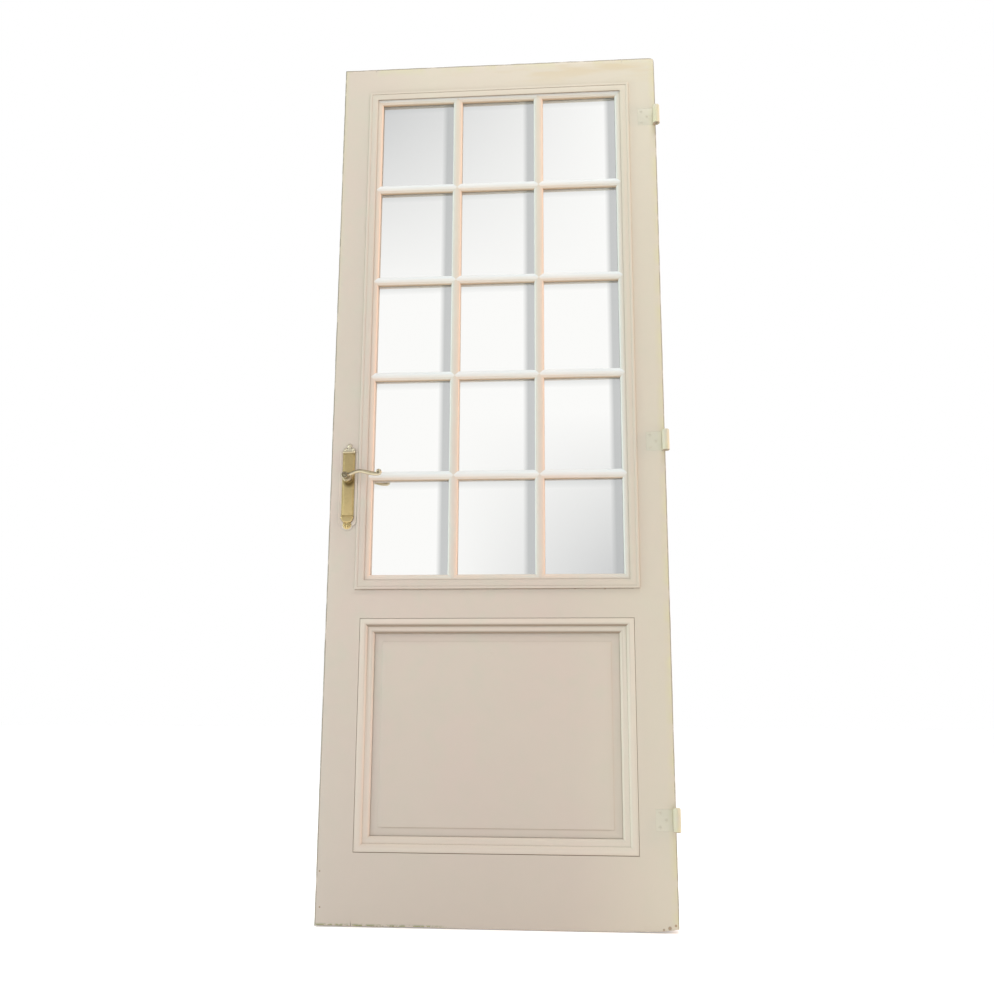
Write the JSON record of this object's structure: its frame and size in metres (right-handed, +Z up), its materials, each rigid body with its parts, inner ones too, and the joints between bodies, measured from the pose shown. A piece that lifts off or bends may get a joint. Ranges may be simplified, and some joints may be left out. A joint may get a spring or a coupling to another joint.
{
  "type": "glazed door leaf",
  "caption": "Painted wooden door leaf with small panes over a fielded panel, lift-off hinge halves and a brass lever handle.",
  "frame": {"origin": "on the hinge axis, in the lower bearing face of the bottom hinge's knuckle", "axes": "+X from the lock edge to the hinge edge, +Y from the front to the back, +Z up along the hinge axis"},
  "size_m": [0.839, 0.131, 2.187],
  "materials": {
    "painted_wood": "old satin cream paint",
    "painted_steel": "old satin cream paint",
    "pane_glass": "clear",
    "brass": "aged, lightly polished",
    "steel": "dull"
  },
  "bodies": {
    "leaf": {"back_glazing_moulding_bottom": "painted_wood", "back_glazing_moulding_left": "painted_wood", "back_glazing_moulding_right": "painted_wood", "back_glazing_moulding_top": "painted_wood", "back_panel_moulding_bottom": "painted_wood", "back_panel_moulding_left": "painted_wood", "back_panel_moulding_right": "painted_wood", "back_panel_moulding_top": "painted_wood", "bottom_rail": "painted_wood", "cross_bars_1": "painted_wood", "cross_bars_2": "painted_wood", "cross_bars_3": "painted_wood", "cross_bars_4": "painted_wood", "glass_row_1": "pane_glass", "glass_row_2": "pane_glass", "glass_row_3": "pane_glass", "glass_row_4": "pane_glass", "glass_row_5": "pane_glass", "glazing_bar_left": "painted_wood", "glazing_bar_right": "painted_wood", "glazing_beads": "painted_wood", "glazing_moulding_bottom": "painted_wood", "glazing_moulding_left": "painted_wood", "glazing_moulding_right": "painted_wood", "glazing_moulding_top": "painted_wood", "handle_plate_back": "brass", "handle_plate_front": "brass", "hinge_stile": "painted_wood", "hinges": "painted_steel", "latch_bolt": "steel", "latch_faceplate": "steel", "lock_rail": "painted_wood", "lock_stile": "painted_wood", "lower_panel": "painted_wood", "panel_moulding_bottom": "painted_wood", "panel_moulding_left": "painted_wood", "panel_moulding_right": "painted_wood", "panel_moulding_top": "painted_wood", "top_rail": "painted_wood"},
    "lever_set": {"lever_front": "brass", "lever_back": "brass", "spindle": "steel"}
  },
  "joints": [
    {"name": "lever_turn", "type": "hinge", "parent": "leaf", "child": "lever_set", "pos_m": [-0.7845, 0.0268, 0.833], "axis": [0, 1, 0], "range_deg": [0, 45], "stiffness_Nm_per_rad": 1.5, "springref_deg": -34.38}
  ]
}
